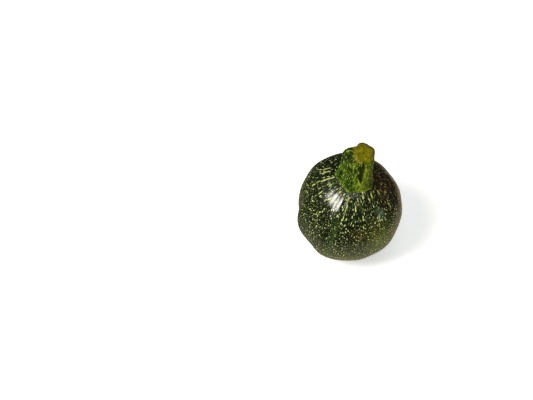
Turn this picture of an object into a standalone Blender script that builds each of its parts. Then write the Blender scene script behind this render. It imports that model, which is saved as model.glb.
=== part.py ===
"""A round zucchini as picked: one globe-shaped fruit with the stub of its five-ridged stem.

The fruit stands on its blossom end. The frame's origin is the middle of the small flat spot there,
+Z runs up the fruit's axis to the stem, and all sizes are metres.
"""

import math

import bmesh
import bpy
from mathutils import Vector

MM = 0.001

# The fruit: a globe a little taller than wide, fullest just below its middle, with the small flat
# spot at the blossom end that it rests on.
FRUIT_HALF_WIDTH = 44.6 * MM
FRUIT_HALF_HEIGHT = 45.6 * MM
FRUIT_TAPER = 0.02
REST_SINK = 2.0 * MM
REST_ROUNDING = 0.6 * MM

# Low ribs and the furrows between them in turn round the fruit, one tuple each: azimuth in degrees,
# and height over the plain globe in millimetres where the fruit is fullest.
SKIN_RELIEF = [
    (-166.0, -2.1),
    (-149.0, 1.2),
    (-129.0, -0.3),
    (-111.0, 2.1),
    (-74.0, -0.4),
    (-66.0, -0.3),
    (-50.0, -0.9),
    (-32.0, -0.1),
    (-12.0, -1.0),
    (4.0, -0.4),
    (14.0, -0.5),
    (26.0, 0.1),
    (44.0, -0.3),
    (63.0, 1.0),
    (80.0, 0.3),
    (108.0, 1.8),
    (131.0, 0.6),
    (149.0, 1.1),
    (165.0, -0.4),
    (180.0, -0.8),
]
# One shoulder stands higher than the rest.
SHOULDER_HEIGHT = 2.2 * MM
SHOULDER_AZIMUTH = math.radians(130)

# Levels up the stem, as shares of the way from its foot to its cut.
STEM_LEVELS = (0.0, 0.3, 0.7, 0.9, 1.0)
# The stem's five ridges, one tuple each: azimuth at the foot and at the cut in degrees, then the
# radius at each level in millimetres.
STEM_RIDGES = [
    (-182.0, -191.0, (16.6, 14.9, 13.8, 12.0, 8.9)),
    (-97.0, -88.0, (15.6, 12.6, 10.8, 9.3, 7.9)),
    (-27.0, -37.0, (16.2, 14.2, 12.2, 10.0, 8.7)),
    (42.0, 27.0, (16.2, 13.8, 11.2, 9.7, 9.1)),
    (112.0, 116.0, (16.0, 13.0, 10.8, 9.4, 8.2)),
]
# The hollow after each ridge, one tuple each: how narrow it is above the foot, where 1 is a round
# valley and 4 a slit, then where it lies between its ridges at the foot and higher up, then its
# radius at each level in millimetres.
STEM_HOLLOWS = [
    (1.0, (0.50, 0.50), (12.7, 10.4, 9.4, 8.4, 7.5)),
    (4.0, (0.66, 0.34), (12.4, 7.6, 6.2, 5.9, 6.1)),
    (0.8, (0.50, 0.50), (12.9, 10.6, 9.4, 8.4, 7.7)),
    (0.9, (0.50, 0.50), (12.8, 10.2, 8.8, 8.0, 7.4)),
    (0.8, (0.50, 0.50), (12.8, 10.2, 9.2, 8.2, 7.4)),
]
# At the foot the hollows are nearly straight from corner to corner. They sharpen and shift to
# their higher places over these shares of the stem's height.
FOOT_NARROWNESS = 0.4
SHARPEN_SHARE = 0.35
SHIFT_SHARE = 0.7
# Flare of the foot: above 1 the stem leaves the fruit at a shallow angle.
STEM_FLARE = 1.25

# The stem leans a little, and the knife went through it at a slope.
STEM_FOOT_CENTRE = Vector((-0.3, 0.0)) * MM
STEM_CUT_CENTRE = Vector((1.7, 2.9)) * MM
STEM_CUT_HEIGHT = 116.0 * MM
STEM_CUT_SLOPE = math.tan(math.radians(19))
STEM_CUT_DISH = 0.6 * MM
STEM_CUT_RINGS = (0.9, 0.5)

# The stem's foot ends in a thin lip on the skin. Its root goes below the skin and is cut off there.
STEM_LIP = 1.0 * MM
STEM_ROOT_DEPTH = 3.0 * MM
SEAM_GAP = 0.3 * MM

FRUIT_SEGMENTS = 100
FRUIT_RINGS = 40
STEM_SIDE_STEPS = 16
STEM_RINGS = 18
SHARP_ANGLE = math.radians(40)

SKIN_COLOUR = (0.021, 0.040, 0.013, 1.0)
SKIN_ROUGHNESS = 0.35
STEM_COLOUR = (0.120, 0.200, 0.022, 1.0)
STEM_ROUGHNESS = 0.55


def clear_scene():
    for obj in list(bpy.data.objects):
        bpy.data.objects.remove(obj)


def ease(t):
    """A smooth step from 0 to 1, flat at both ends."""
    t = min(max(t, 0.0), 1.0)
    return t * t * (3 - 2 * t)


def smooth_max(a, b, width):
    """The larger of two heights, with the corner between them rounded over a width."""
    near = max(width - abs(a - b), 0.0) / width
    return max(a, b) + near * near * width / 4


def skin_relief(azimuth):
    """Height of the ribs and furrows at an azimuth where the fruit is fullest."""
    turn = 2 * math.pi
    for index, (start, height) in enumerate(SKIN_RELIEF):
        end, next_height = SKIN_RELIEF[(index + 1) % len(SKIN_RELIEF)]
        gap = math.radians(end - start) % turn
        beyond = (azimuth - math.radians(start)) % turn
        if beyond < gap:
            return (height + (next_height - height) * ease(beyond / gap)) * MM
    return SKIN_RELIEF[0][1] * MM


def fruit_point(azimuth, polar, grow=0.0):
    """A point of the skin. polar is 0 at the blossom end and pi at the stem; grow moves it out."""
    width, height = math.sin(polar), math.cos(polar)
    radius = (FRUIT_HALF_WIDTH + grow) * width * (1 + FRUIT_TAPER * height)
    radius += skin_relief(azimuth) * width**2
    toward_shoulder = max(math.cos(azimuth - SHOULDER_AZIMUTH), 0.0) ** 2
    above_middle = max(-height, 0.0) * width
    radius += 2 * SHOULDER_HEIGHT * toward_shoulder * above_middle
    z = (FRUIT_HALF_HEIGHT + grow) * (1 - height) - grow - REST_SINK
    z = smooth_max(z, -grow, REST_ROUNDING)
    return Vector((radius * math.cos(azimuth), radius * math.sin(azimuth), z))


def fruit_top_height(distance):
    """Height of the skin this far from the axis, near the stem."""
    share = distance / (FRUIT_HALF_WIDTH * (1 - FRUIT_TAPER))
    return FRUIT_HALF_HEIGHT * (1 + math.sqrt(1 - share * share)) - REST_SINK


def make_fruit(name, grow=0.0):
    """The globe starts as a sphere, whose every point then moves to its place on the skin."""
    globe = bmesh.new()
    bmesh.ops.create_uvsphere(globe, u_segments=FRUIT_SEGMENTS, v_segments=FRUIT_RINGS, radius=1)
    for vertex in globe.verts:
        azimuth = math.atan2(vertex.co.y, vertex.co.x)
        polar = math.acos(max(-1.0, min(1.0, -vertex.co.z)))
        vertex.co = fruit_point(azimuth, polar, grow)
    mesh = bpy.data.meshes.new(name)
    globe.to_mesh(mesh)
    globe.free()
    mesh.shade_smooth()
    return bpy.data.objects.new(name, mesh)


def level_radius(radii, t):
    """A radius t of the way up the stem, on the smooth curve through those at its levels."""
    last = len(STEM_LEVELS) - 1
    i = max(k for k in range(last) if STEM_LEVELS[k] <= t)

    def slope(k):
        before, after = max(k - 1, 0), min(k + 1, last)
        return (radii[after] - radii[before]) / (STEM_LEVELS[after] - STEM_LEVELS[before])

    span = STEM_LEVELS[i + 1] - STEM_LEVELS[i]
    share = (t - STEM_LEVELS[i]) / span
    bend_in = slope(i) * span * share * (1 - share) ** 2
    bend_out = slope(i + 1) * span * share**2 * (1 - share)
    return radii[i] + (radii[i + 1] - radii[i]) * ease(share) + bend_in - bend_out


def stem_outline(t):
    """The stem's outline t of the way up, as azimuths and radii that follow its ridges round."""
    turned = [math.radians(foot + (cut - foot) * ease(t)) for foot, cut, _ in STEM_RIDGES]
    ridges = [level_radius(radii, t) for _, _, radii in STEM_RIDGES]
    outline = []
    for index, (narrowness, places, radii) in enumerate(STEM_HOLLOWS):
        following = (index + 1) % len(STEM_RIDGES)
        gap = (turned[following] - turned[index]) % (2 * math.pi)
        place = places[0] + (places[1] - places[0]) * ease(t / SHIFT_SHARE)
        sharpened = (narrowness - FOOT_NARROWNESS) * ease(t / SHARPEN_SHARE)
        power = 2 * (FOOT_NARROWNESS + sharpened)
        hollow = level_radius(radii, t)
        for step in range(STEM_SIDE_STEPS):
            share = step / STEM_SIDE_STEPS
            across = 2 * place * share if share < 0.5 else 1 - 2 * (1 - place) * (1 - share)
            ridge = ridges[index] + (ridges[following] - ridges[index]) * ease(across)
            radius = ridge + (hollow - ridge) * math.sin(math.pi * share) ** power
            outline.append((turned[index] + gap * across, radius * MM))
    return outline


def stem_ring(t, feet):
    """Points round the stem t of the way up, each on its way from its foot to the sloping cut."""
    centre = STEM_FOOT_CENTRE.lerp(STEM_CUT_CENTRE, t)
    climb = t**STEM_FLARE
    points = []
    for (azimuth, radius), foot in zip(stem_outline(t), feet):
        x = centre.x + radius * math.cos(azimuth)
        y = centre.y + radius * math.sin(azimuth)
        cut = STEM_CUT_HEIGHT + STEM_CUT_SLOPE * (y - STEM_CUT_CENTRE.y)
        points.append(Vector((x, y, foot + (cut - foot) * climb)))
    return points


def add_ring(shape, points):
    return [shape.verts.new(point) for point in points]


def bridge(shape, lower, upper):
    """Quads between two rings of the same number of points, facing outwards."""
    for i, corner in enumerate(lower):
        following = (i + 1) % len(lower)
        shape.faces.new((corner, lower[following], upper[following], upper[i]))


def close_ring(shape, ring, middle):
    """A fan from a ring to a point in its middle, facing up when the ring runs anticlockwise."""
    hub = shape.verts.new(middle)
    for i, corner in enumerate(ring):
        shape.faces.new((corner, ring[(i + 1) % len(ring)], hub))


def make_stem(name):
    """The stem is a loft: its section turns from a wide five-cornered foot to a small cut end."""
    shape = bmesh.new()
    feet = [fruit_top_height(radius) + STEM_LIP for _, radius in stem_outline(0.0)]
    roots = [foot - STEM_LIP - STEM_ROOT_DEPTH for foot in feet]
    rings = [add_ring(shape, stem_ring(0.0, roots))]
    for step in range(STEM_RINGS + 1):
        rings.append(add_ring(shape, stem_ring(step / STEM_RINGS, feet)))
    for lower, upper in zip(rings, rings[1:]):
        bridge(shape, lower, upper)
    close_ring(shape, rings[0][::-1], Vector((0, 0, min(roots))))

    # The cut face is a little dished, as the pith dries and sinks.
    middle = Vector((STEM_CUT_CENTRE.x, STEM_CUT_CENTRE.y, STEM_CUT_HEIGHT))
    rim = outer = rings[-1]
    for share in STEM_CUT_RINGS:
        sunk = Vector((0, 0, STEM_CUT_DISH * (1 - share)))
        inner = add_ring(shape, [middle.lerp(corner.co, share) - sunk for corner in rim])
        bridge(shape, outer, inner)
        outer = inner
    close_ring(shape, outer, middle - Vector((0, 0, STEM_CUT_DISH)))

    mesh = bpy.data.meshes.new(name)
    shape.to_mesh(mesh)
    shape.free()
    mesh.shade_smooth()
    mesh.set_sharp_from_angle(angle=SHARP_ANGLE)
    return bpy.data.objects.new(name, mesh)


def seat_on(stem, cutter):
    """Cuts the stem's underside to the shape of the skin that it sits on."""
    cut = stem.modifiers.new("seat", "BOOLEAN")
    cut.operation = "DIFFERENCE"
    cut.solver = "EXACT"
    cut.object = cutter


def make_material(name, colour, roughness):
    material = bpy.data.materials.new(name)
    material.use_nodes = True
    shader = material.node_tree.nodes["Principled BSDF"]
    shader.inputs["Base Color"].default_value = colour
    shader.inputs["Roughness"].default_value = roughness
    shader.inputs["Metallic"].default_value = 0.0
    return material


def make_collection(name):
    collection = bpy.data.collections.new(name)
    bpy.context.scene.collection.children.link(collection)
    return collection


def main():
    clear_scene()
    parts = make_collection("round_zucchini")
    cutters = make_collection("cutters")

    fruit = make_fruit("fruit")
    fruit.data.materials.append(make_material("skin", SKIN_COLOUR, SKIN_ROUGHNESS))
    parts.objects.link(fruit)

    stem = make_stem("stem")
    stem.data.materials.append(make_material("stem", STEM_COLOUR, STEM_ROUGHNESS))
    parts.objects.link(stem)

    # The skin again, grown by the gap that keeps the two solids from touching.
    seat = make_fruit("seat_cutter", grow=SEAM_GAP)
    seat.hide_render = True
    seat.display_type = "WIRE"
    cutters.objects.link(seat)
    seat_on(stem, seat)


main()
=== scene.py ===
# %% [markdown]
# # A round zucchini on a pale floor
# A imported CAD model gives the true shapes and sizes: a globe of a fruit, and the stub of its stem.
# This lesson gives both a fine surface and a finish that follows the way the real ones grew.
# The CAD nodes stay unchanged, because physics uses them. Each new piece stands in for one of them.

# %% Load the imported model
import math
import random

import bpy
import numpy as np
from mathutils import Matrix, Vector, kdtree, noise


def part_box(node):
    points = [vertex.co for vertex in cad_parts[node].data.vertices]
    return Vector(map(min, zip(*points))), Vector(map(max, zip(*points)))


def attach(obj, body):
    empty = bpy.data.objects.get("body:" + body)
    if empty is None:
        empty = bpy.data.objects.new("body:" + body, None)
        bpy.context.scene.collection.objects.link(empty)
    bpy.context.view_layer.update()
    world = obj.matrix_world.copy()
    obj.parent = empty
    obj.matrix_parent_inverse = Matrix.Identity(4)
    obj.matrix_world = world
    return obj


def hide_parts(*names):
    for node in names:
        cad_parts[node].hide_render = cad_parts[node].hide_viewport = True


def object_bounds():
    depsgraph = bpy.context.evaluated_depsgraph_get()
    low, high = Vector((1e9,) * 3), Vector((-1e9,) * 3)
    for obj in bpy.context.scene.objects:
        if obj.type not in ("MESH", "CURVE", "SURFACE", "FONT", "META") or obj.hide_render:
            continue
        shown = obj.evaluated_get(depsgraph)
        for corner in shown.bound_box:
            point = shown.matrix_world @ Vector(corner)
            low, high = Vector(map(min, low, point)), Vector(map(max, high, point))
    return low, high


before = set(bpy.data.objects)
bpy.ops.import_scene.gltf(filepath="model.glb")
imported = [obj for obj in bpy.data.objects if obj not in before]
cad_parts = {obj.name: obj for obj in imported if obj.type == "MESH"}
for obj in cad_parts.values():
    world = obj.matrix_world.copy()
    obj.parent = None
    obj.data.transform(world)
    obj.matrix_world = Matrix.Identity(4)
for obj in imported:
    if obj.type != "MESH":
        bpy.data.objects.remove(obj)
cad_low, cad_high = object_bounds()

MM = 0.001
SEED = 11
UP = Vector((0, 0, 1))

print("CAD nodes:", ", ".join(sorted(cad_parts)))
print("CAD box in millimetres:", [round(side / MM, 1) for side in cad_high - cad_low])

# %% [markdown]
# ## Where things are on the fruit
# The fruit grew round an upright axis, so its ribs, veins and flecks are best placed as on a globe:
# by an azimuth round the axis, and by a distance from the axis or a height. The view in the photograph
# looks along +Y and down, so azimuth -90 degrees is the front. The fruit's and the stem's sizes are read from
# the CAD parts.

# %% Measure the fruit and the stem
fruit_low, fruit_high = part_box("fruit")
stem_low, stem_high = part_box("stem")
fruit_middle = (fruit_low + fruit_high) / 2
fruit_half_width = (fruit_high.x - fruit_low.x) / 2


def ease(values, start, end):
    """0 at the start and 1 at the end, with a smooth rise between them."""
    share = np.clip((values - start) / (end - start), 0, 1)
    return share * share * (3 - 2 * share)


def turn_between(azimuths, azimuth):
    """How far azimuths are from another one, from -pi to pi."""
    return (azimuths - azimuth + math.pi) % (2 * math.pi) - math.pi


print("fruit: half width", round(fruit_half_width / MM, 1), "mm, top", round(fruit_high.z / MM, 1), "mm")
print("stem: from", round(stem_low.z / MM, 1), "to", round(stem_high.z / MM, 1), "mm")

# %% [markdown]
# ## A working copy of the fruit
# A sphere could be added and sculpted again, but the CAD fruit already has the right ribs and shoulder.
# Its mesh came in as loose triangles, so a copy of it is merged first, and its triangles are joined
# back into quads, which Subdivision Surface rounds without pinching.

# %% Helpers for working copies
MERGE_DISTANCE = 0.001 * MM


def edit_alone(piece):
    """Opens one piece in edit mode, with nothing selected."""
    bpy.ops.object.select_all(action="DESELECT")
    piece.select_set(True)
    bpy.context.view_layer.objects.active = piece
    bpy.ops.object.mode_set(mode="EDIT")
    bpy.ops.mesh.select_all(action="DESELECT")


def merged_copy(node_name, piece_name):
    """A copy of a CAD node with its loose triangles merged and joined into quads."""
    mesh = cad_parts[node_name].data.copy()
    mesh.materials.clear()
    piece = bpy.data.objects.new(piece_name, mesh)
    bpy.context.scene.collection.objects.link(piece)
    edit_alone(piece)
    bpy.ops.mesh.select_all(action="SELECT")
    bpy.ops.mesh.customdata_custom_splitnormals_clear()
    bpy.ops.mesh.remove_doubles(threshold=MERGE_DISTANCE)
    bpy.ops.mesh.tris_convert_to_quads()
    bpy.ops.mesh.faces_shade_smooth()
    bpy.ops.object.mode_set(mode="OBJECT")
    return piece


def subdivide_smoothly(piece, levels):
    """Adds a Subdivision Surface and applies it."""
    bpy.ops.object.modifier_add(type="SUBSURF")
    rounding = piece.modifiers[-1]
    rounding.levels = levels
    rounding.render_levels = levels
    bpy.ops.object.modifier_apply(modifier=rounding.name)


def read_points(piece, what="co"):
    """The points of a piece, or their normals, as one row each."""
    rows = np.empty(len(piece.data.vertices) * 3)
    piece.data.vertices.foreach_get(what, rows)
    return rows.reshape(-1, 3)


def write_points(piece, points):
    """Moves the points of a piece to new places."""
    piece.data.vertices.foreach_set("co", points.ravel())
    piece.data.update()


print("helpers are ready")

# %% Copy and refine the fruit
FRUIT_LEVELS = 2

fruit_skin = merged_copy("fruit", "fruit_skin")
print("merged fruit:", len(fruit_skin.data.polygons), "faces")
subdivide_smoothly(fruit_skin, FRUIT_LEVELS)
print("refined fruit:", len(fruit_skin.data.polygons), "faces")

# %% [markdown]
# ## Folds at the neck and a gently uneven skin
# Where the fruit runs up into its stem the skin gathers into fine folds, one every 12 degrees or so.
# They are only 0.13 millimetres deep, but they break up a highlight, so they are real relief.
# Lower down the skin is gently uneven, like beaten metal. A sculpting brush would do this by hand.
# Here each point moves along its own normal, only ever inwards, so that the fruit keeps its size.

# %% Shape the folds and the unevenness
FOLD_TURN = math.radians(12)
FOLD_CREST = math.radians(-105.5)
FOLD_DEPTH = 0.13 * MM
# Folds differ in width and in strength: how often that repeats round the fruit, and by how much.
FOLD_WIDTHS = ((3, 1.1), (7, 0.7))
FOLD_STRENGTHS = (5, 0.35)
FOLD_FADES = (37 * MM, 27 * MM)
# Each size of unevenness, with how deep it goes.
UNEVENNESS = [(11 * MM, 0.22 * MM), (4.0 * MM, 0.08 * MM)]
# The height from which there is relief, and above which it is full.
RELIEF_ABOVE = (1.2 * MM, 6 * MM)


def unevenness(points, size, shift):
    """Soft random lumps of a size, from 0 to 1, one number for each point."""
    offset = Vector((shift, 2 * shift, 3 * shift))
    return np.array([0.5 + 0.5 * noise.noise(Vector(point) / size + offset) for point in points])


def neck_folds(azimuths):
    """The folds' height, from 0 in a crease to 1 on a crest."""
    turn = turn_between(azimuths, FOLD_CREST)
    uneven = sum(much * np.sin(often * turn) for often, much in FOLD_WIDTHS)
    wave = 0.5 + 0.5 * np.cos(turn * 2 * math.pi / FOLD_TURN + uneven)
    often, much = FOLD_STRENGTHS
    strength = 1 - much + much * np.cos(often * turn)
    return 1 - strength * (1 - wave)


points = read_points(fruit_skin)
normals = read_points(fruit_skin, "normal")
azimuths = np.arctan2(points[:, 1], points[:, 0])
distances = np.hypot(points[:, 0], points[:, 1])
upper_half = points[:, 2] > fruit_middle.z

near_neck = ease(distances, *FOLD_FADES) * upper_half
depth = FOLD_DEPTH * near_neck * (1 - neck_folds(azimuths))
for size, deepest in UNEVENNESS:
    depth += deepest * (1 - unevenness(points, size, SEED))
depth *= ease(points[:, 2], *RELIEF_ABOVE)
points -= normals * depth[:, None]
write_points(fruit_skin, points)
print("deepest relief:", round(depth.max() / MM, 2), "mm")

# %% [markdown]
# ## The blossom scar
# The flower sat on the end that is now underneath, and it leaves a round corky scar with a small raised
# middle. It is sunk a little, so that the fruit still rests on the smooth ring round it. The mesh is
# coarse there, so its faces are cut up finer first, as Subdivide does in edit mode.

# %% Cut the mesh finer round the scar
FINER_WITHIN = 14 * MM
FINER_CUTS = 2

edit_alone(fruit_skin)
bpy.ops.mesh.select_mode(type="VERT")
bpy.ops.object.mode_set(mode="OBJECT")
at_scar = (distances < FINER_WITHIN) & ~upper_half
fruit_skin.data.vertices.foreach_set("select", at_scar)
bpy.ops.object.mode_set(mode="EDIT")
bpy.ops.mesh.subdivide(number_cuts=FINER_CUTS)
bpy.ops.object.mode_set(mode="OBJECT")
print("finer underside:", len(fruit_skin.data.vertices), "points")

# %% Press in the blossom scar
SCAR_EDGE = (6.0 * MM, 4.8 * MM)
# Its outline wavers: how often round the scar, by how much, and how far that is turned.
SCAR_WAVERS = ((5, 0.30 * MM, 1), (11, 0.15 * MM, 0))
SCAR_DEPTH = 0.7 * MM
SCAR_NUB_RADIUS = 2.0 * MM
SCAR_NUB_HEIGHT = 0.55 * MM
SCAR_CRACKS = 9
SCAR_CRACK_DEPTH = 0.15 * MM
# How often round the scar its cracks bend to and fro, and by how much.
SCAR_CRACK_BENDS = (3, 2)

points = read_points(fruit_skin)
azimuths = np.arctan2(points[:, 1], points[:, 0])
distances = np.hypot(points[:, 0], points[:, 1])
wavers = sum(much * np.sin(often * azimuths + turned) for often, much, turned in SCAR_WAVERS)
in_scar = ease(distances + wavers, *SCAR_EDGE)
in_scar *= points[:, 2] < fruit_middle.z
nub = SCAR_NUB_HEIGHT * ease(distances, SCAR_NUB_RADIUS, 0)
often, much = SCAR_CRACK_BENDS
bent_azimuths = SCAR_CRACKS * azimuths + much * np.sin(often * azimuths)
cracks = SCAR_CRACK_DEPTH * (0.5 + 0.5 * np.cos(bent_azimuths)) * ease(distances, 0, 2 * SCAR_NUB_RADIUS)
points[:, 2] += in_scar * (SCAR_DEPTH - nub + cracks)
write_points(fruit_skin, points)
print("scar:", int((in_scar > 0.5).sum()), "points, lowest point at", round(points[:, 2].min() / MM, 3), "mm")

# %% [markdown]
# ## What the skin needs to know
# Flecks near the stem are drawn out into streaks that run down the fruit, because the skin stretched
# that way as the fruit swelled, and both ends of the fruit have as many flecks round them as its middle.
# A texture in plain object coordinates can't follow that. So the skin is unrolled onto flat maps, as a
# globe is for an atlas: what they hold gets smaller on the fruit towards its ends, and longer near its
# stem, so that a round fleck on a map becomes a long one on the skin. One map has its seam at the back
# and serves the front half, the other one is turned round. More numbers say where veins, tints and bold
# streaks lie.

# %% Unroll the skin onto flat maps
FRONT = math.radians(-90)
MOST_STRETCH = 4.8
STRETCH_FADES = (math.radians(24), math.radians(68))
# The maps have no end at the ends of the fruit, so they stop this angle before them.
MAP_STOPS_BEFORE = 0.03
MAP_STEPS = 400
MOST_SWELL = 1.2
SWELL_POWER = 0.8

heights = points[:, 2]
from_stem = np.arctan2(distances, heights - fruit_middle.z)
steps = np.linspace(MAP_STOPS_BEFORE, math.pi - MAP_STOPS_BEFORE, MAP_STEPS)
stretch = 1 + (MOST_STRETCH - 1) * (1 - ease(steps, *STRETCH_FADES))
map_heights = fruit_half_width * np.cumsum(1 / (np.sin(steps) * stretch)) * (steps[1] - steps[0])
up_map = np.interp(from_stem, steps, map_heights)


def flat_map(middle):
    """Places on a flat map whose middle is at an azimuth, and whose seam is opposite."""
    across = fruit_half_width * turn_between(azimuths, middle)
    return np.column_stack((across, up_map, np.zeros(len(points))))


# The same places on a round cylinder, for textures that need no flat map.
growth = np.column_stack(
    (fruit_half_width * np.cos(azimuths), fruit_half_width * np.sin(azimuths), up_map)
)
# Flecks on the maps get smaller near the stem, so they are swollen there to keep their width.
swell = np.clip(fruit_half_width / np.maximum(distances, MM), 1, MOST_SWELL) ** SWELL_POWER
swell = np.where(heights > fruit_middle.z, swell, 1)
print("growth map:", np.round(np.ptp(growth, axis=0) / MM, 1), "mm across")

# %% List the veins, tints and bold streaks
# Veins, one tuple each: azimuth in degrees, height where it starts and ends in mm, and strength.
VEINS = [
    (-101, 80, 24, 1.0),
    (-141, 66, 20, 0.35),
    (-62, 60, 24, 0.3),
    (-24, 70, 20, 0.5),
    (12, 68, 24, 0.8),
    (47, 72, 20, 0.5),
    (84, 70, 26, 0.9),
    (121, 66, 20, 0.5),
    (158, 72, 22, 0.8),
    (-166, 68, 24, 0.5),
]
VEIN_WIDTH = 2.6 * MM
VEIN_FADES = 12 * MM
# Tints, one tuple each: azimuth in degrees and height in mm of the middle, how far it reaches, in
# degrees round the fruit and in mm up it, and strength.
OLIVE_TINTS = [
    (-43, 54, 17, 14, 1.0),
    (-88, 20, 60, 14, 1.0),
    (90, 20, 60, 14, 1.0),
    (74, 48, 20, 16, 0.7),
    (176, 46, 18, 18, 0.5),
]
# The bronze tint right of the stem is partly a real brownish tint and partly painted shadow of the stem.
BRONZE_AND_STEM_SHADOW_TINTS = [(18, 80, 45, 16, 1.0)]
RUSTY_TINTS = [(-72, 64, 9, 5, 1.0), (-52, 63, 6, 3, 1.0), (130, 58, 8, 5, 0.7)]
# Bold streaks, one tuple each: azimuth in degrees where it starts and ends, distance from the axis
# where it starts and ends, and half its width, all three in mm.
BOLD_STREAKS = [
    (-94, -95, 23.4, 32.8, 0.42),
    (-57.5, -60, 14, 19, 0.45),
    (-36, -39, 17, 20.5, 0.45),
    (-95, -96, 18, 21, 0.42),
    (-78.5, -78, 22.8, 26.6, 0.50),
    (-48, -47.5, 19.4, 21.7, 0.42),
    (-74.5, -72.5, 18, 20.3, 0.40),
    (-127, -127.5, 14.7, 16.8, 0.42),
    (-121, -121.5, 16.6, 18.2, 0.42),
    (-129, -133.5, 25.4, 28.7, 0.60),
    (-171, -170, 16.8, 22.5, 0.66),
    (-170, -169.5, 23.3, 26.0, 0.62),
    (-172, -170.5, 27.6, 30.0, 0.54),
    (-170, -170, 31.1, 32.6, 0.54),
    (161, 165.5, 22.8, 27.5, 0.48),
    (170.5, 173.5, 20.7, 28.5, 0.42),
    (-149, -149, 27.4, 29.8, 0.42),
    (-159, -156.5, 19.5, 22.3, 0.38),
    (-153, -151, 19, 21.7, 0.36),
    (-18, -20, 20, 22.8, 0.36),
    (-18, -18, 30.5, 33.6, 0.42),
    (-40, -44.5, 31.7, 34.4, 0.50),
]
print(len(VEINS), "veins and", len(BOLD_STREAKS), "bold streaks")

# %% Work out where they lie
# More half widths away than a streak's ragged edge reaches.
FAR_AWAY = 9.0


def bold_streak_distance(azimuths, distances):
    """How far each point is from the nearest bold streak, in half widths of that streak."""
    nearest = np.full(len(azimuths), FAR_AWAY)
    for first, last, start, end, half_width in BOLD_STREAKS:
        share = np.clip((distances - start * MM) / ((end - start) * MM), 0, 1)
        azimuth = np.radians(first + (last - first) * share)
        across = distances * turn_between(azimuths, azimuth)
        beyond = distances - np.clip(distances, start * MM, end * MM)
        nearest = np.minimum(nearest, np.hypot(across, beyond) / (half_width * MM))
    return nearest


def tinted(tints):
    """How strongly tints show at each point, from 0 to 1."""
    strongest = np.zeros(len(points))
    for azimuth, height, turn, reach, strength in tints:
        across = turn_between(azimuths, math.radians(azimuth)) / math.radians(turn)
        up = (heights - height * MM) / (reach * MM)
        strongest = np.maximum(strongest, strength * np.exp(-across * across - up * up))
    return strongest


veins = np.zeros(len(points))
for azimuth, top, bottom, strength in VEINS:
    across = distances * turn_between(azimuths, math.radians(azimuth)) / VEIN_WIDTH
    reach = ease(heights, top * MM, top * MM - VEIN_FADES)
    reach *= ease(heights, bottom * MM, bottom * MM + VEIN_FADES)
    veins = np.maximum(veins, strength * reach * np.exp(-across * across))
bold = np.where(heights > fruit_middle.z, bold_streak_distance(azimuths, distances), FAR_AWAY)
print("points in bold streaks:", int((bold < 1).sum()), "and in veins:", int((veins > 0.5).sum()))


# %% Store them on the skin
def store(piece, attributes):
    """Keeps one number or one vector for each point, for the piece's material to read."""
    for name, values in attributes.items():
        several = values.ndim > 1
        layer = piece.data.attributes.new(name, "FLOAT_VECTOR" if several else "FLOAT", "POINT")
        layer.data.foreach_set("vector" if several else "value", values.astype(np.float32).ravel())
    print("stored on", piece.name + ":", ", ".join(attributes))


store(
    fruit_skin,
    {
        "growth": growth,
        "front_map": flat_map(FRONT),
        "back_map": flat_map(FRONT + math.pi),
        "frontness": np.cos(turn_between(azimuths, FRONT)),
        "swell": swell,
        "vein": veins,
        "bold_streak": bold,
        "olive": tinted(OLIVE_TINTS),
        "bronze_and_stem_shadow": tinted(BRONZE_AND_STEM_SHADOW_TINTS),
        "rusty": tinted(RUSTY_TINTS),
        "scar": in_scar,
    },
)

# %% [markdown]
# ## The stem
# The stub of the stem has five ridges, a flared foot with a thin lip on the skin, and a sloping cut.
# The CAD stem was cut to the skin underneath, which left small uneven faces there. They are deleted
# up to the lip, the open edge is drawn down into the fruit, and it is closed there, out of sight. That
# leaves clean quads, and it looks grown together with the fruit. The lip and the rim of the cut get a
# crease, so that rounding keeps them crisp.

# %% Copy the stem and clean its foot
# A ray starts this far over the model, and a point with no fruit under it is that high.
FAR_OVER = 1.0
LIP_LEAST_HEIGHT = 0.7 * MM
ROOT_DEPTH = 2.5 * MM
ROOT_END = 0.1 * MM
CREASE_ANGLE = math.radians(30)
CREASE = 0.75
STEM_LEVELS = 2


def height_over_skin(point):
    """How far a point is above the CAD fruit's skin, straight down."""
    above = Vector((point[0], point[1], cad_high.z + FAR_OVER))
    hit, place, _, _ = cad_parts["fruit"].ray_cast(above, -UP)
    return point[2] - place.z if hit else FAR_OVER


bpy.context.view_layer.update()
stem_stub = merged_copy("stem", "stem_stub")
edit_alone(stem_stub)
bpy.ops.object.mode_set(mode="OBJECT")
for vertex in stem_stub.data.vertices:
    vertex.select = height_over_skin(vertex.co) < LIP_LEAST_HEIGHT
bpy.ops.object.mode_set(mode="EDIT")
bpy.ops.mesh.delete(type="VERT")
bpy.ops.mesh.select_all(action="SELECT")
bpy.ops.mesh.edges_select_sharp(sharpness=CREASE_ANGLE)
bpy.ops.transform.edge_crease(value=CREASE)
bpy.ops.mesh.select_all(action="DESELECT")
bpy.ops.mesh.select_non_manifold()
bpy.ops.transform.edge_crease(value=CREASE)
bpy.ops.mesh.extrude_region_move(TRANSFORM_OT_translate={"value": (0, 0, -ROOT_DEPTH)})
bpy.ops.mesh.extrude_region_move(TRANSFORM_OT_translate={"value": (0, 0, -ROOT_END)})
bpy.ops.mesh.merge(type="CENTER")
# Extruding gives new points in an order that varies. All get a fixed one, by their distance from the
# 3D cursor, so that random choices among them are the same in each run.
bpy.context.scene.cursor.location = stem_low
bpy.ops.mesh.select_all(action="SELECT")
bpy.ops.mesh.sort_elements(type="CURSOR_DISTANCE", elements={"VERT", "EDGE", "FACE"})
bpy.ops.object.mode_set(mode="OBJECT")
print("stem with a clean foot:", len(stem_stub.data.polygons), "faces")
subdivide_smoothly(stem_stub, STEM_LEVELS)
print("refined stem:", len(stem_stub.data.polygons), "faces")

# %% [markdown]
# ## Where things are on the stem
# The stem leans a little, so its axis runs from the middle of its foot to the middle of its cut. Places
# on the stem have an azimuth and a radius round that axis. A point belongs to the cut if it faces the
# same way as the cut and lies close to it.

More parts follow.
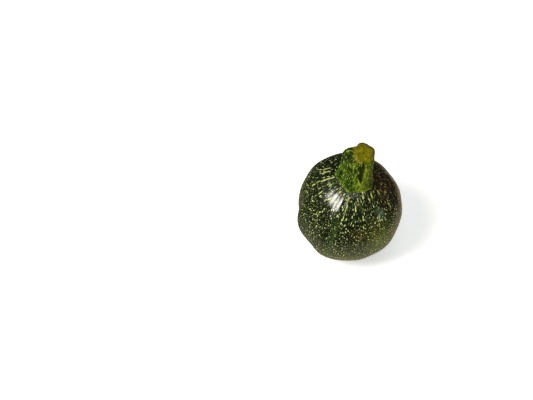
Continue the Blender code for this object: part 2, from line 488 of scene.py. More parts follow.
# %% Find the cut and the stem's axis
FOOT_BAND = 1 * MM
FACING_UP = 0.80
CUT_ABOVE = 0.6
# From where to where a point counts as facing the way of the cut, and as close to it.
CUT_FACING = (0.55, 0.85)
CUT_DEPTH = (1.5 * MM, 0.8 * MM)

points = read_points(stem_stub)
normals = read_points(stem_stub, "normal")
over_skin = np.array([height_over_skin(point) for point in points])
foot_band = points[np.abs(points[:, 2] - fruit_high.z) < FOOT_BAND]
foot_centre = np.array([foot_band[:, 0].mean(), foot_band[:, 1].mean(), fruit_high.z])
stem_share = (points[:, 2] - fruit_high.z) / (stem_high.z - fruit_high.z)
facing_up = (normals[:, 2] > FACING_UP) & (stem_share > CUT_ABOVE)
cut_centre = points[facing_up].mean(axis=0)
cut_normal = normals[facing_up].mean(axis=0)
cut_normal /= np.linalg.norm(cut_normal)
below_cut = -(points - cut_centre) @ cut_normal
along = np.clip((points[:, 2] - foot_centre[2]) / (cut_centre[2] - foot_centre[2]), 0, 1)
axis = foot_centre[:2] + along[:, None] * (cut_centre[:2] - foot_centre[:2])
from_axis = points[:, :2] - axis
stem_azimuths = np.arctan2(from_axis[:, 1], from_axis[:, 0])
stem_radii = np.hypot(from_axis[:, 1], from_axis[:, 0])
on_cut = ease(normals @ cut_normal, *CUT_FACING) * ease(below_cut, *CUT_DEPTH)
print("cut: centre", np.round(cut_centre / MM, 1), "mm, normal", np.round(cut_normal, 2))

# %% [markdown]
# ## The slit and the stem's left shoulder
# The slit in the front of the stem is leaf-shaped and ends some millimetres above the skin, and under it
# the foot is nearly straight from corner to corner. The left ridge ends in a full round shoulder, which
# rind still covers up to the cut. By hand, brushes would fill the CAD stem's longer slit, cut the leaf
# and push out the shoulder. Here points move outwards or inwards by so many millimetres, and those near
# the skin keep their height over it.

# %% Fill the front of the stem and cut the slit
FRONT_FACE_AZIMUTH = math.radians(-65)
FRONT_FACE_TURN = math.radians(32)
# How far the front face is from the stem's axis at the foot and at the cut.
FRONT_FACE = (12.8 * MM, 8.6 * MM)
FRONT_FACE_LEAN = 0.26
# The slit's azimuth at its lower and its upper end, and how far it is bowed to the left between them.
SLIT_AZIMUTHS = (math.radians(-67), math.radians(-74))
SLIT_BOW = math.radians(4)
SLIT_HALF_WIDTH = 2.2 * MM
SLIT_LEAF_POWER = 0.6
# Where its wall starts and ends, in half widths from its middle.
SLIT_WALL = (1.0, 0.65)
SLIT_DEPTH = 2.2 * MM
SLIT_ABOVE_SKIN = 6.5 * MM
FOLLOW_SKIN_BELOW = 5 * MM
# Added to what something is divided by, so that it is never zero.
TINY = 0.01 * MM

face_turn = turn_between(stem_azimuths, FRONT_FACE_AZIMUTH)
face_radius = FRONT_FACE[0] + along * (FRONT_FACE[1] - FRONT_FACE[0])
face_radius *= 1 + FRONT_FACE_LEAN * face_turn * (1 - along)
in_face = np.exp(-((face_turn / FRONT_FACE_TURN) ** 4))
in_face *= 1 - on_cut
moved = in_face * np.clip(face_radius - stem_radii, 0, None)
over_slit_end = np.clip(over_skin - SLIT_ABOVE_SKIN, 0, None)
up_slit = over_slit_end / (over_slit_end + np.clip(below_cut, 0, None) + TINY)
leaf = 4 * up_slit * (1 - up_slit)
half_width = SLIT_HALF_WIDTH * leaf**SLIT_LEAF_POWER + TINY
slit_azimuths = np.interp(up_slit, (0, 1), SLIT_AZIMUTHS) - SLIT_BOW * leaf
across_slit = face_radius * turn_between(stem_azimuths, slit_azimuths)
slit = ease(np.abs(across_slit) / half_width, *SLIT_WALL) * (up_slit > 0) * in_face
moved -= SLIT_DEPTH * slit
points[:, 0] += moved * np.cos(stem_azimuths)
points[:, 1] += moved * np.sin(stem_azimuths)
risen = np.array([height_over_skin(point) for point in points]) - over_skin
points[:, 2] -= np.where((moved > 0) & (over_skin < FOLLOW_SKIN_BELOW), risen, 0)
print("slit: points moved from", round(moved.min() / MM, 1), "to", round(moved.max() / MM, 1), "mm")

# %% Push out the left shoulder
SHOULDER_SIDE = np.array([-0.97, -0.25, 0])
# From where to where the shoulder comes in, to its side and up the stem.
SHOULDER_ACROSS = (4.5 * MM, 8.5 * MM)
SHOULDER_UP = (0.45, 0.8)
SHOULDER_PUSH = np.array([-1.9, -0.3, 0.5]) * MM
RIND_FADES = (7.4 * MM, 5.9 * MM)

toward_shoulder = (points - cut_centre) @ SHOULDER_SIDE
shoulder = ease(toward_shoulder, *SHOULDER_ACROSS) * ease(along, *SHOULDER_UP)
points += shoulder[:, None] * SHOULDER_PUSH
on_cut *= ease(toward_shoulder, *RIND_FADES)
write_points(stem_stub, points)
normals = read_points(stem_stub, "normal")
print("shoulder:", int((shoulder > 0.5).sum()), "points pushed out")

# %% [markdown]
# ## Ridges, fibres and bumps on the stem
# The stem is tough and stringy: ridges run up it, and pale drawn-out bumps stand close together on it
# where its prickly hairs broke off. All are real relief. The ridges are noise that is stretched along
# the stem. The bumps are small domes at random points of the side, a least distance apart, and are
# stretched the same way. The height of all that is kept, because the finish follows it.

# %% Raise the fibres and the hair bases
STEM_RADIUS = 11 * MM
# Fibre sizes across the stem and along it, and how high they stand.
FIBRES = [
    (3.0 * MM, 15 * MM, 0.30 * MM),
    (0.8 * MM, 5.6 * MM, 0.52 * MM),
    (0.55 * MM, 1.8 * MM, 0.20 * MM),
]
BUMP_TRIES = 1200
BUMP_RADIUS = (0.30 * MM, 0.55 * MM)
BUMP_HEIGHT = 0.30 * MM
BUMP_STRETCH = 6.0
BUMP_GAP = 1.1 * MM
# Hair bases keep this far from the cut and from the skin.
BUMP_MARGIN = 1.0 * MM
# Between them the rind lies lower by this share of their height.
BUMP_SINK = 0.3

round_stem = (STEM_RADIUS * np.cos(stem_azimuths), STEM_RADIUS * np.sin(stem_azimuths))
fibre_place = np.column_stack((*round_stem, points[:, 2] - foot_centre[2]))
height = np.zeros(len(points))
for across, length, tall in FIBRES:
    stretched = fibre_place * [1, 1, across / length]
    height += tall * (unevenness(stretched, across, SEED + 1) - 0.5)

chooser = random.Random(SEED)
clear_of_cut = (on_cut < 0.05) & ((below_cut > BUMP_MARGIN) | (shoulder > 0.5))
on_side = np.flatnonzero(clear_of_cut & (over_skin > BUMP_MARGIN))
squeezed = points / [1, 1, BUMP_STRETCH]
hair_base = np.zeros(len(points))
centres = []
for _ in range(BUMP_TRIES):
    centre = squeezed[chooser.choice(on_side.tolist())]
    radius = chooser.uniform(*BUMP_RADIUS)
    if all(np.linalg.norm(centre - other) > BUMP_GAP for other in centres):
        centres.append(centre)
        share = np.linalg.norm(squeezed - centre, axis=1) / radius
        hair_base = np.maximum(hair_base, ease(share, 1.0, 0.1))
height += BUMP_HEIGHT * (hair_base - BUMP_SINK)
print(len(centres), "hair bases on the stem")

# %% Roughen the cut and move the points
# The relief between the deepest groove and the highest crest that the finish tells apart.
CREST_RANGE = 0.8 * MM
# Each size of lump on the cut, with how deep it goes.
CUT_LUMPS = [(2.4 * MM, 0.25 * MM), (0.9 * MM, 0.14 * MM)]
RELIEF_OVER_SKIN = (0.2 * MM, 1.4 * MM)

crest = 0.5 + height / CREST_RANGE
height *= 1 - on_cut
for size, deep in CUT_LUMPS:
    height -= on_cut * deep * (1 - unevenness(points, size, SEED + 2))
height *= ease(over_skin, *RELIEF_OVER_SKIN)
points += normals * height[:, None]
write_points(stem_stub, points)
print("stem relief:", round(height.min() / MM, 2), "to", round(height.max() / MM, 2), "mm")

# %% Store what the stem's finish needs
LIP_FADES = (1.8 * MM, 0.8 * MM)
# Each edge of the cut: the side it is on, where it comes in towards that side, and how wide it is.
BACK_EDGE = ((0.45, 0.9, 0), (0, 5 * MM), (2.2 * MM, 0.9 * MM))
FRONT_EDGE = ((-0.75, -0.65, 0), (3 * MM, 7 * MM), (4 * MM, 2 * MM))

side_points = np.flatnonzero((on_cut < 0.5) & (stem_share > CUT_ABOVE))
rim_finder = kdtree.KDTree(len(side_points))
for number, index in enumerate(side_points.tolist()):
    rim_finder.insert(points[index], number)
rim_finder.balance()
from_rim = np.array([rim_finder.find(point)[2] for point in points])
back_edge, front_edge = [
    ease((points - cut_centre) @ side, *comes_in) * ease(from_rim, *widths)
    for side, comes_in, widths in (BACK_EDGE, FRONT_EDGE)
]
store(
    stem_stub,
    {
        "fibre": fibre_place,
        "crest": crest,
        "hair_base": hair_base,
        "slit": slit,
        "lip": ease(over_skin, *LIP_FADES),
        "up_stem": along,
        "from_rim": from_rim,
        "back_edge": back_edge,
        "front_edge": front_edge,
    },
)

# %% [markdown]
# ## How the finishes are built
# Every finish here is made of nodes. One small function adds a node: what it is given by name is a
# property of the node, and what is in the dictionary goes to its sockets, as a value or as a link.
# Colours are written as the sRGB hex values that a colour picker shows, and turned to linear light.
# A finish is then painted in layers, as with glazes, and each layer has a mask that says where it covers.

# %% Add nodes and turn colours to linear light
# Which sockets of a Mix node hold its two colours and the mixed one.
MIX_A, MIX_B, MIX_COLOUR = 6, 7, 2


def linear(hex_colour):
    """A colour such as #8f9c48 as the linear values that a shader works with."""
    shares = [int(hex_colour[start : start + 2], 16) / 255 for start in (1, 3, 5)]
    light = [c / 12.92 if c <= 0.04045 else ((c + 0.055) / 1.055) ** 2.4 for c in shares]
    return (*light, 1.0)


def add(tree, kind, sockets=None, **properties):
    """Adds a node; each of its sockets is given a value, or the output that feeds it."""
    node = tree.nodes.new(kind)
    for name, value in properties.items():
        setattr(node, name, value)
    for name, value in (sockets or {}).items():
        if isinstance(value, bpy.types.NodeSocket):
            tree.links.new(value, node.inputs[name])
        else:
            node.inputs[name].default_value = value
    return node


def new_material(name, settings):
    """A material, its node tree and its shader, which is given some settings."""
    material = bpy.data.materials.new(name)
    material.use_nodes = True
    tree = material.node_tree
    tree.nodes.clear()
    shader = add(tree, "ShaderNodeBsdfPrincipled", settings)
    add(tree, "ShaderNodeOutputMaterial", {"Surface": shader.outputs["BSDF"]})
    return material, tree, shader


print("middle grey in linear light:", round(linear("#808080")[0], 3))


# %% Masks and layers
def step_between(tree, value, start, end):
    """0 where a value is at the start and beyond, 1 where it is at the end and beyond."""
    sockets = {"Value": value, "From Min": start, "From Max": end}
    return add(tree, "ShaderNodeMapRange", sockets, interpolation_type="SMOOTHSTEP").outputs["Result"]


def patches(tree, place, size, start, end, shift=0.0):
    """Soft random patches of a size: 0 where the noise is under start, 1 where it is over end."""
    moved = add(tree, "ShaderNodeVectorMath", {0: place, 1: (shift, shift, shift)}, operation="ADD")
    sockets = {"Vector": moved.outputs[0], "Scale": 1 / size, "Detail": 2.0, "Roughness": 0.55}
    grain = add(tree, "ShaderNodeTexNoise", sockets)
    return step_between(tree, grain.outputs["Fac"], start, end)


def times(tree, *shares):
    """Masks multiplied together, each of them an output or a number."""
    product = shares[0]
    for share in shares[1:]:
        product = add(tree, "ShaderNodeMath", {0: product, 1: share}, operation="MULTIPLY").outputs[0]
    return product


def without(tree, share):
    """What is left of 1 without a share."""
    return add(tree, "ShaderNodeMath", {0: 1.0, 1: share}, operation="SUBTRACT").outputs[0]


def paint_over(tree, under, layers):
    """Lays colours one over another; each layer is a colour and the masks that it covers within."""
    under = linear(under)
    for colour, *masks in layers:
        colour = linear(colour) if isinstance(colour, str) else colour
        sockets = {0: times(tree, *masks), MIX_A: under, MIX_B: colour}
        under = add(tree, "ShaderNodeMix", sockets, data_type="RGBA").outputs[MIX_COLOUR]
    return under


print("masks and layers are ready")

# %% [markdown]
# ## Flecks, one by one
# A Voronoi texture cuts a flat map into cells, and each cell has a middle and three random numbers. A
# fleck is a soft disc round that middle. One number gives its size, one says whether it is there at all,
# and one what kind it is. Plain noise can't do this, because its spots all run into each other. A fleck
# belongs to the map on whose half its middle lies, so that it is whole on the border between the maps.

# %% Draw flecks on a flat map
FLECK_RANDOMNESS = 0.85
QUARTER_ROUND = fruit_half_width * math.pi / 2
# The skin is darkest round each spot, so the finer dust stays this far from it, with a soft change.
DARK_RING = (0.50 * MM, 0.15 * MM)


def flecks_on(tree, map_place, this_half, swell, pattern, share):
    """Flecks of one map: where they are, how large and of which kind, and where it is near them."""
    spacing, smallest, largest, softness = pattern
    sockets = {"Vector": map_place, "Scale": 1 / spacing, "Randomness": FLECK_RANDOMNESS}
    cells = add(tree, "ShaderNodeTexVoronoi", sockets, voronoi_dimensions="2D")
    chance = add(tree, "ShaderNodeSeparateColor", {0: cells.outputs["Color"]})
    size = times(tree, chance.outputs[0], chance.outputs[0])
    sockets = {"Value": size, "To Min": smallest / spacing, "To Max": largest / spacing}
    radius = add(tree, "ShaderNodeMapRange", sockets).outputs["Result"]
    sockets = {0: cells.outputs["Distance"], 1: times(tree, radius, swell)}
    beyond = add(tree, "ShaderNodeMath", sockets, operation="SUBTRACT").outputs[0]
    middle = add(tree, "ShaderNodeSeparateXYZ", {0: cells.outputs["Position"]}).outputs["X"]
    off_middle = add(tree, "ShaderNodeMath", {0: middle}, operation="ABSOLUTE").outputs[0]
    belongs, present = [
        add(tree, "ShaderNodeMath", {0: number, 1: limit}, operation="LESS_THAN").outputs[0]
        for number, limit in ((off_middle, QUARTER_ROUND), (chance.outputs[1], share))
    ]
    shown = times(tree, belongs, present, this_half)
    disc = step_between(tree, beyond, softness / spacing, -softness / spacing)
    ring = step_between(tree, beyond, DARK_RING[0] / spacing, DARK_RING[1] / spacing)
    cover = times(tree, disc, shown)
    near = times(tree, ring, shown)
    return cover, times(tree, cover, size), times(tree, cover, chance.outputs[2]), near


def flecks(tree, halves, swell, pattern, share):
    """The flecks of both maps together."""
    in_front, behind = [
        flecks_on(tree, map_place, this_half, swell, pattern, share) for map_place, this_half in halves
    ]
    return [
        add(tree, "ShaderNodeMath", {0: one, 1: other}, operation="MAXIMUM").outputs[0]
        for one, other in zip(in_front, behind)
    ]


print("a quarter round:", round(QUARTER_ROUND / MM, 1), "mm")

# %% [markdown]
# ## The fruit's skin
# The skin of a round zucchini is a thin waxy cuticle over very dark green tissue. The pale yellow-green
# flecks are places with no dark green in them: fine dust, larger spots some 2 millimetres apart, and
# bold streaks near the stem. Soft mid-green veins run down between them, with olive, bronze and rusty
# tints in places; the dark brown of the bronze tint right of the stem is also painted shadow of the stem.
# An image could be painted for all this, but nodes stay sharp from close by.
# The wax gives a clear gloss, and a fine orange-peel bump breaks up its edges.

# %% Begin the waxy cuticle
RAGGED_SIZE = 1.0 * MM
RAGGED_REACH = 0.75 * MM
# Each map reaches past its own half, and fades out there. 1 is the front of the fruit, -1 its back.
MAP_REACHES = (("front_map", -0.6, -0.4), ("back_map", 0.6, 0.4))

waxy_skin, tree, shader = new_material("waxy_zucchini_skin", {"IOR": 1.50})
place = add(tree, "ShaderNodeTexCoord").outputs["Object"]
growth = add(tree, "ShaderNodeAttribute", attribute_name="growth").outputs["Vector"]
vein, olive, bronze_and_stem_shadow, rusty, scar, bold_streak, swell, frontness = [
    add(tree, "ShaderNodeAttribute", attribute_name=name).outputs["Fac"]
    for name in ("vein", "olive", "bronze_and_stem_shadow", "rusty", "scar", "bold_streak", "swell", "frontness")
]

# Fleck outlines are uneven, so the places that they are read from are pushed about a little.
ragged = add(tree, "ShaderNodeTexNoise", {"Vector": growth, "Scale": 1 / RAGGED_SIZE, "Detail": 1.0})
centred = add(
    tree, "ShaderNodeVectorMath", {0: ragged.outputs["Color"], 1: (0.5, 0.5, 0.5)}, operation="SUBTRACT"
)
push = add(tree, "ShaderNodeVectorMath", {0: centred.outputs[0], "Scale": RAGGED_REACH}, operation="SCALE")
halves = []
for map_name, gone, full in MAP_REACHES:
    flat = add(tree, "ShaderNodeAttribute", attribute_name=map_name).outputs["Vector"]
    pushed = add(tree, "ShaderNodeVectorMath", {0: flat, 1: push.outputs[0]}, operation="ADD")
    halves.append((pushed.outputs[0], step_between(tree, frontness, gone, full)))
print("flat maps:", [map_name for map_name, _, _ in MAP_REACHES])

# %% Scatter dust, spots and streaks
# How far apart dust and spots stand, their least and greatest radius, and how soft their edge is.
DUST = (1.35 * MM, 0.16 * MM, 0.34 * MM, 0.10 * MM)
SPOTS = (2.05 * MM, 0.20 * MM, 0.48 * MM, 0.08 * MM)
# How many of their cells hold one, on most of the fruit, and beside and behind the stem.
DUST_SHARES = (0.48, 0.15)
SPOT_SHARES = (0.90, 0.55)
NECK_FADES = (66 * MM, 84 * MM)
LINE_WIDTH = 1.6 * MM
LINE_SQUEEZE = (1, 1, 0.1)
STREAK_RAGGED_SIZE = 1.6 * MM
STREAK_RAGGEDNESS = 0.95
STREAK_EDGE = (1.55, 1.0)

height = add(tree, "ShaderNodeSeparateXYZ", {0: place}).outputs["Z"]
neck = step_between(tree, height, *NECK_FADES)
side_neck = times(tree, neck, without(tree, frontness))
spot_share, dust_share = [
    add(tree, "ShaderNodeMapRange", {"Value": side_neck, "To Min": most, "To Max": least}).outputs["Result"]
    for most, least in (SPOT_SHARES, DUST_SHARES)
]
dust, dust_tone, _, _ = flecks(tree, halves, swell, DUST, dust_share)
spots, spot_tone, spot_kind, near_spot = flecks(tree, halves, swell, SPOTS, spot_share)

# Close to the stem fine green lines run between the flecks.
squeezed_growth = add(tree, "ShaderNodeVectorMath", {0: growth, 1: LINE_SQUEEZE}, operation="MULTIPLY")
line_patches = patches(tree, squeezed_growth.outputs[0], LINE_WIDTH, 0.50, 0.62, shift=0.8)
lines = times(tree, line_patches, neck)

# A bold streak has a ragged edge.
unevenly = patches(tree, growth, STREAK_RAGGED_SIZE, 0.35, 0.65, shift=0.4)
sockets = {0: bold_streak, 1: times(tree, unevenly, STREAK_RAGGEDNESS)}
ragged_edge = add(tree, "ShaderNodeMath", sockets, operation="ADD")
bold = step_between(tree, ragged_edge.outputs[0], *STREAK_EDGE)
print("flecked skin:", len(tree.nodes), "nodes")

# %% Paint the skin
# Soft changes within the tissue and the tints, each with the size of its patches.
clouds = patches(tree, place, 22 * MM, 0.35, 0.65)
mottles = patches(tree, place, 3.0 * MM, 0.48, 0.66, shift=0.3)
olive_mottles = patches(tree, growth, 3.0 * MM, 0.40, 0.64, shift=0.2)
bronze_mottles = patches(tree, growth, 2.5 * MM, 0.50, 0.62, shift=0.6)
rust_specks = patches(tree, growth, 1.3 * MM, 0.50, 0.62, shift=0.9)
cork_grain = patches(tree, place, 1.4 * MM, 0.42, 0.62, shift=0.5)

# Veins have few flecks, the bronze tint and painted stem shadow have little dust, and dust stays clear of
# spots.
unveined = without(tree, times(tree, vein, 0.55))
off_bronze_and_stem_shadow = without(tree, times(tree, bronze_and_stem_shadow, 0.7))
off_spot = without(tree, near_spot)

dust_colour = paint_over(tree, "#526030", [("#9ea866", dust_tone), ("#8e8a3a", olive, 0.7)])
# Large spots are the palest, and one in forty is brownish.
spot_colour = paint_over(
    tree,
    "#8a984e",
    [
        ("#e2e69c", step_between(tree, spot_tone, 0.0, 0.8)),
        ("#c09a50", step_between(tree, spot_kind, 0.975, 0.985)),
        ("#d0c45c", olive, 0.7),
        ("#b09440", bronze_and_stem_shadow),
    ],
)
colour = paint_over(
    tree,
    "#0a1006",
    [
        ("#10190a", clouds),
        ("#1e2b10", mottles, 0.7),
        ("#1f2b1c", lines, 0.4),
        ("#434e12", olive, 0.8),
        ("#626a1c", olive, olive_mottles, 0.7),
        ("#334a1b", vein, 0.55),
        # Painted shadow of the stem, partly a real bronze tint: dark brown right of the stem.
        ("#281e0e", bronze_and_stem_shadow, 0.8),
        (dust_colour, dust, unveined, off_bronze_and_stem_shadow, off_spot, 0.9),
        (spot_colour, spots, unveined),
        ("#cccf78", bold, 0.9),
        ("#6d5230", bronze_and_stem_shadow, bronze_mottles, 0.25),
        ("#8d6c2c", rusty, rust_specks, 0.45),
        ("#6f5c38", scar),
        ("#a08c60", scar, cork_grain),
    ],
)
tree.links.new(colour, shader.inputs["Base Color"])
print("skin, painted:", len(tree.nodes), "nodes")

# %% Give the skin its gloss and its fine bump
FLECK_RISE = 0.05 * MM
PEEL_SIZE = 2.0 * MM
PEEL_RISE = 0.12 * MM
GLOSS_PATCH = 9 * MM
WAXY_ROUGHNESS = (0.16, 0.24)
CORK_ROUGHER_BY = 0.5

fleck_bump = add(tree, "ShaderNodeBump", {"Height": spots, "Strength": 0.2, "Distance": FLECK_RISE})
peel = add(tree, "ShaderNodeTexNoise", {"Vector": place, "Scale": 1 / PEEL_SIZE, "Detail": 3.0})
sockets = {"Height": peel.outputs["Fac"], "Strength": 0.35, "Distance": PEEL_RISE}
peel_bump = add(tree, "ShaderNodeBump", {**sockets, "Normal": fleck_bump.outputs["Normal"]})
gloss = patches(tree, place, GLOSS_PATCH, 0.3, 0.7, shift=0.7)
least, most = WAXY_ROUGHNESS
waxy = add(tree, "ShaderNodeMapRange", {"Value": gloss, "To Min": least, "To Max": most})
sockets = {0: waxy.outputs["Result"], 1: times(tree, scar, CORK_ROUGHER_BY)}
roughness = add(tree, "ShaderNodeMath", sockets, operation="ADD")
tree.links.new(roughness.outputs[0], shader.inputs["Roughness"])
tree.links.new(peel_bump.outputs["Normal"], shader.inputs["Normal"])
fruit_skin.data.materials.append(waxy_skin)
print("skin:", len(tree.nodes), "nodes")

# %% [markdown]
# ## The stem's rind and its cut
# The rind is tough green tissue with a dull sheen. Its bumps are pale, and painted shade darkens the
# grooves between them, so the colour follows the height of the relief, which was kept on the mesh for
# that. Towards the cut it turns olive, and its lip on the skin is a fresh yellow-green. Painted light
# makes the right side a lighter yellow-green and puts painted glints on the lip there, and painted
# shade darkens the left shoulder near the cut, the far right edge and the inside of the slit. The cut
# is moist olive pith, greener near the rim, dried brown at its back edge, and flaky at its front edge,
# where pale patches are partly painted glints.

# %% Fibrous rind of the stem
FIBRE_SQUEEZE = (1, 1, 0.3)
THREAD_SIZE = 0.6 * MM
THREAD_RISE = 0.12 * MM

stem_rind, tree, shader = new_material(
    "fibrous_green_stem_rind", {"IOR": 1.40, "Specular IOR Level": 0.10, "Roughness": 0.58}
)
place = add(tree, "ShaderNodeTexCoord").outputs["Object"]
fibre = add(tree, "ShaderNodeAttribute", attribute_name="fibre").outputs["Vector"]
crest, hair_base, slit_share, lip_share, up_stem = [
    add(tree, "ShaderNodeAttribute", attribute_name=name).outputs["Fac"]
    for name in ("crest", "hair_base", "slit", "lip", "up_stem")
]
squeezed_fibre = add(tree, "ShaderNodeVectorMath", {0: fibre, 1: FIBRE_SQUEEZE}, operation="MULTIPLY")
along_fibres = squeezed_fibre.outputs[0]

# Where the tints, the painted light and the painted shade of the rind lie, by height up the stem and from
# left to right.
foot_share = step_between(tree, up_stem, 0.35, 0.0)
toward_cut = step_between(tree, up_stem, 0.45, 0.95)
across_stem = add(tree, "ShaderNodeSeparateXYZ", {0: place}).outputs["X"]
# Painted light: the right side of the rind is painted a lighter yellow-green.
painted_light_right = times(tree, step_between(tree, across_stem, 0.5 * MM, 5 * MM), 0.8)
shaded_side = step_between(tree, across_stem, 6.5 * MM, 9.5 * MM)
left_side = step_between(tree, across_stem, -2 * MM, -6 * MM)
# Painted shade: the left shoulder near the cut is painted a darker green.
painted_shade_on_shoulder = times(tree, left_side, step_between(tree, up_stem, 0.55, 0.85))
dark_furrows = patches(tree, along_fibres, 2.4 * MM, 0.50, 0.66, shift=0.1)
lip_mottles = patches(tree, fibre, 2.2 * MM, 0.36, 0.58, shift=0.5)
# Painted glints: bright yellow-green patches on the lip, on its right side.
painted_lip_glints = patches(tree, fibre, 1.8 * MM, 0.32, 0.54, shift=0.7)

# Where the relief is: painted shade in the grooves, which is weaker where the right side has painted light,
# crests, hair bases and the slit.
painted_shade_in_grooves = times(tree, step_between(tree, crest, 0.52, 0.32), without(tree, times(tree, painted_light_right, 0.45)))
crests = step_between(tree, crest, 0.55, 0.76)
pale_bumps = step_between(tree, hair_base, 0.2, 1.0)
# Painted shade: the inside of the slit is painted a dark olive.
painted_shade_in_slit = step_between(tree, slit_share, 0.1, 0.5)

colour = paint_over(
    tree,
    "#4b640d",
    [
        ("#3f5e0a", foot_share, 0.8),
        ("#5b6c10", toward_cut, 0.7),
        ("#94a61a", painted_light_right),
        ("#4a4520", shaded_side, 0.65),
        ("#22330a", painted_shade_on_shoulder, 0.75),
        ("#1a2a06", dark_furrows, 0.5),
        ("#142203", painted_shade_in_grooves),
        ("#a8b83e", crests, 0.85),
        ("#b0bc5c", pale_bumps, 0.55),
        ("#32390f", painted_shade_in_slit, 0.95),
        ("#7c9a10", lip_share, lip_mottles, 0.8),
        ("#a6b408", lip_share, painted_lip_glints, painted_light_right),
    ],
)
thread = add(tree, "ShaderNodeTexNoise", {"Vector": along_fibres, "Scale": 1 / THREAD_SIZE, "Detail": 3.0})
sockets = {"Height": thread.outputs["Fac"], "Strength": 0.6, "Distance": THREAD_RISE}
thread_bump = add(tree, "ShaderNodeBump", sockets)
tree.links.new(colour, shader.inputs["Base Color"])
tree.links.new(thread_bump.outputs["Normal"], shader.inputs["Normal"])
stem_stub.data.materials.append(stem_rind)
print("rind:", len(tree.nodes), "nodes")

# %% Moist cut through the stem
RIM_FADES = (2.6 * MM, 0.6 * MM)
PULP_SIZE = 0.8 * MM
PULP_RISE = 0.2 * MM
DULL_AND_WET_ROUGHNESS = (0.95, 0.25)

moist_cut, tree, shader = new_material("moist_cut_stem_pith", {"IOR": 1.38, "Specular IOR Level": 0.15})
place = add(tree, "ShaderNodeTexCoord").outputs["Object"]
from_rim, back_edge, front_edge = [
    add(tree, "ShaderNodeAttribute", attribute_name=name).outputs["Fac"]
    for name in ("from_rim", "back_edge", "front_edge")
]
rim = step_between(tree, from_rim, *RIM_FADES)
pith_clouds = patches(tree, place, 3.4 * MM, 0.46, 0.64)
strand_ends = patches(tree, place, 1.5 * MM, 0.50, 0.64, shift=0.2)
# Pale flakes at the front edge of the cut, partly painted glints where light strikes that edge.
flakes_and_painted_glints = patches(tree, place, 1.8 * MM, 0.45, 0.60, shift=0.5)
wet_spots = patches(tree, place, 1.8 * MM, 0.42, 0.55, shift=0.9)
colour = paint_over(
    tree,
    "#666303",
    [
        ("#80760c", pith_clouds),
        ("#4f5605", rim, 0.6),
        ("#3c4504", strand_ends, 0.85),
        ("#a0983c", front_edge, flakes_and_painted_glints, 0.7),
        ("#55361a", back_edge, 0.9),
    ],
)
pulp = add(tree, "ShaderNodeTexNoise", {"Vector": place, "Scale": 1 / PULP_SIZE, "Detail": 3.0})
sockets = {"Height": pulp.outputs["Fac"], "Strength": 0.7, "Distance": PULP_RISE}
pulp_bump = add(tree, "ShaderNodeBump", sockets)
dull, wet = DULL_AND_WET_ROUGHNESS
sockets = {"Value": times(tree, front_edge, wet_spots), "To Min": dull, "To Max": wet}
roughness = add(tree, "ShaderNodeMapRange", sockets)
tree.links.new(roughness.outputs["Result"], shader.inputs["Roughness"])
tree.links.new(colour, shader.inputs["Base Color"])
tree.links.new(pulp_bump.outputs["Normal"], shader.inputs["Normal"])
stem_stub.data.materials.append(moist_cut)

for face in stem_stub.data.polygons:
    face.material_index = int(np.mean(on_cut[list(face.vertices)]) > 0.5)
print("cut:", len(tree.nodes), "nodes")

# %% [markdown]
# ## The floor and the light
# The fruit stands on a light table, as in many product photographs: white paper that glows a little,
# which keeps the shadow pale. A soft box high on the left front is the key light. It is two lights in
# one place: gloss mirrors one of them, which gives the bright patch on the shoulder, and the other one
# only lights up the skin, so that each can be set alone. Small panels overhead, on the left and on the
# right give faint reflections, and a wide ceiling of light fills the shadows. Gloss mirrors neither the
# paper nor that ceiling. It mirrors a plain surrounding instead: dark above, so that dark skin stays
# dark, and pale and warm below, in front and on the right, which gives the skin its soft beige rim.

# %% White paper floor
FLOOR_GLOW = 0.5
FLOOR_SIZE = 6.0
bpy.ops.object.select_all(action="DESELECT")
bpy.ops.mesh.primitive_plane_add(size=FLOOR_SIZE, location=(0, 0, 0))
floor = bpy.context.active_object
floor.name = "pale_floor"
white_paper, _, _ = new_material(
    "matte_white_paper",
    {
        "Base Color": linear("#f7f7f6"),
        "Roughness": 0.9,
        "Specular IOR Level": 0.2,
        "Emission Color": linear("#ffffff"),
        "Emission Strength": FLOOR_GLOW,
    },
)
floor.data.materials.append(white_paper)
floor.visible_glossy = False
print("floor:", FLOOR_SIZE, "m")

# %% The surroundings that gloss mirrors
# Where each part of them begins and is full, along one axis of the direction that is looked in.
RIGHT_PART = (-0.3, 0.3)
FRONT_PART = (0.3, -0.5)
UPPER_PART = (-0.67, -0.47)
HIGHER_ON_RIGHT = 0.12

world = bpy.data.worlds.new("studio")
bpy.context.scene.world = world
world.use_nodes = True
tree = world.node_tree
sky = tree.nodes["Background"]
looked_in = add(tree, "ShaderNodeTexCoord").outputs["Generated"]
axes = add(tree, "ShaderNodeSeparateXYZ", {0: looked_in})
on_right = step_between(tree, axes.outputs["X"], *RIGHT_PART)
in_front = step_between(tree, axes.outputs["Y"], *FRONT_PART)
# On the right the pale part reaches higher before the dark one begins.
sockets = {0: axes.outputs["Z"], 1: times(tree, on_right, HIGHER_ON_RIGHT)}
lowered = add(tree, "ShaderNodeMath", sockets, operation="SUBTRACT")
above = step_between(tree, lowered.outputs[0], *UPPER_PART)
# The camera itself sees a pale backdrop.
seen_directly = add(tree, "ShaderNodeLightPath").outputs["Is Camera Ray"]
surrounding = paint_over(
    tree,
    "#6b6558",
    [
        ("#b0a486", on_right),
        ("#c6c69c", in_front),
        ("#303335", above),
        ("#e4e5e5", seen_directly),
    ],
)
tree.links.new(surrounding, sky.inputs["Color"])
print("surroundings:", len(tree.nodes), "nodes")

# %% Soft studio light
KEY_DIRECTION = (-0.53, -0.39, 0.755)
KEY_DISTANCE = 1.1


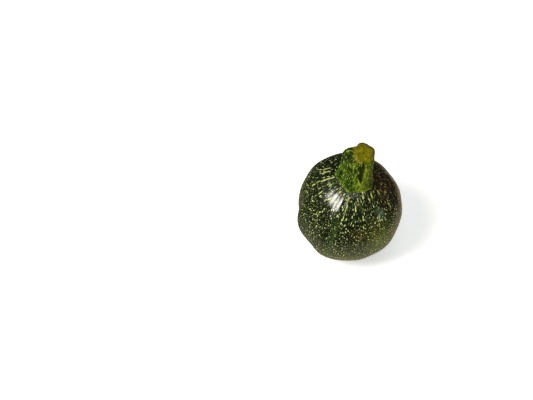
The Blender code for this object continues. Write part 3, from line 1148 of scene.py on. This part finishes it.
def add_softbox(name, direction, distance, size, watts, hex_colour, mirrored=True, lights_up=True):
    """A flat light that faces the fruit; gloss may mirror it or not, and it may light up or not."""
    toward = Vector(direction).normalized()
    bpy.ops.object.light_add(type="AREA", location=fruit_middle + toward * distance)
    lamp = bpy.context.active_object
    lamp.name = name
    lamp.rotation_euler = toward.to_track_quat("Z", "Y").to_euler()
    lamp.data.shape = "RECTANGLE"
    lamp.data.size, lamp.data.size_y = size
    lamp.data.energy = watts
    lamp.data.color = linear(hex_colour)[:3]
    lamp.visible_glossy = mirrored
    lamp.visible_diffuse = lights_up


add_softbox("key_seen_in_gloss", KEY_DIRECTION, KEY_DISTANCE, (0.45, 0.42), 15.8, "#fffbf0", lights_up=False)
add_softbox("key_softbox", KEY_DIRECTION, KEY_DISTANCE, (0.38, 0.40), 11.2, "#fffbf0", mirrored=False)
add_softbox("overhead_panel", (0.0, 0.0, 1.0), 1.0, (0.50, 0.50), 1.4, "#eff3f1")
add_softbox("left_panel", (-0.76, 0.15, 0.63), 1.0, (0.60, 0.60), 0.45, "#dfe8f2")
add_softbox("cool_side_panel", (0.944, -0.227, 0.24), 1.0, (0.24, 0.42), 0.55, "#b4e6c8")
add_softbox("ceiling_fill", (0.36, -0.12, 1.0), 1.3, (1.6, 1.6), 5.6, "#ffffff", mirrored=False)

# %% [markdown]
# ## The camera
# It looks down on the fruit by about 57 degrees, as the photograph does. Its focal length was found in
# pixels of the picture, from how the fruit is foreshortened, and turned to millimetres on a full-frame
# sensor. The Standard view transform shows the colours as they were matched.

# %% Camera at the photograph's view
PICTURE_WIDTH = 533
FOCAL_LENGTH_IN_PIXELS = 600
SENSOR_WIDTH = 36
NEAREST_SEEN = 0.01
EYE = Vector((0, -0.28230, 0.47151))
LOOK = Vector((-0.1360, 0.5322, -0.8356))

bpy.ops.object.camera_add(location=EYE, rotation=LOOK.to_track_quat("-Z", "Y").to_euler())
camera = bpy.context.active_object
camera.name = "photo_camera"
camera.data.sensor_width = SENSOR_WIDTH
camera.data.lens = SENSOR_WIDTH * FOCAL_LENGTH_IN_PIXELS / PICTURE_WIDTH
camera.data.clip_start = NEAREST_SEEN
bpy.context.scene.camera = camera
bpy.context.scene.view_settings.view_transform = "Standard"
print("camera: lens", round(camera.data.lens, 1), "mm")

# %% [markdown]
# ## Handing the pieces over
# Each piece rides on a body of the physics model and stands in for one CAD node, which is hidden.

# %% Hand the pieces over
for piece, node, slot in ((fruit_skin, "fruit", "skin"), (stem_stub, "stem", "stem")):
    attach(piece, "root")
    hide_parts(node)
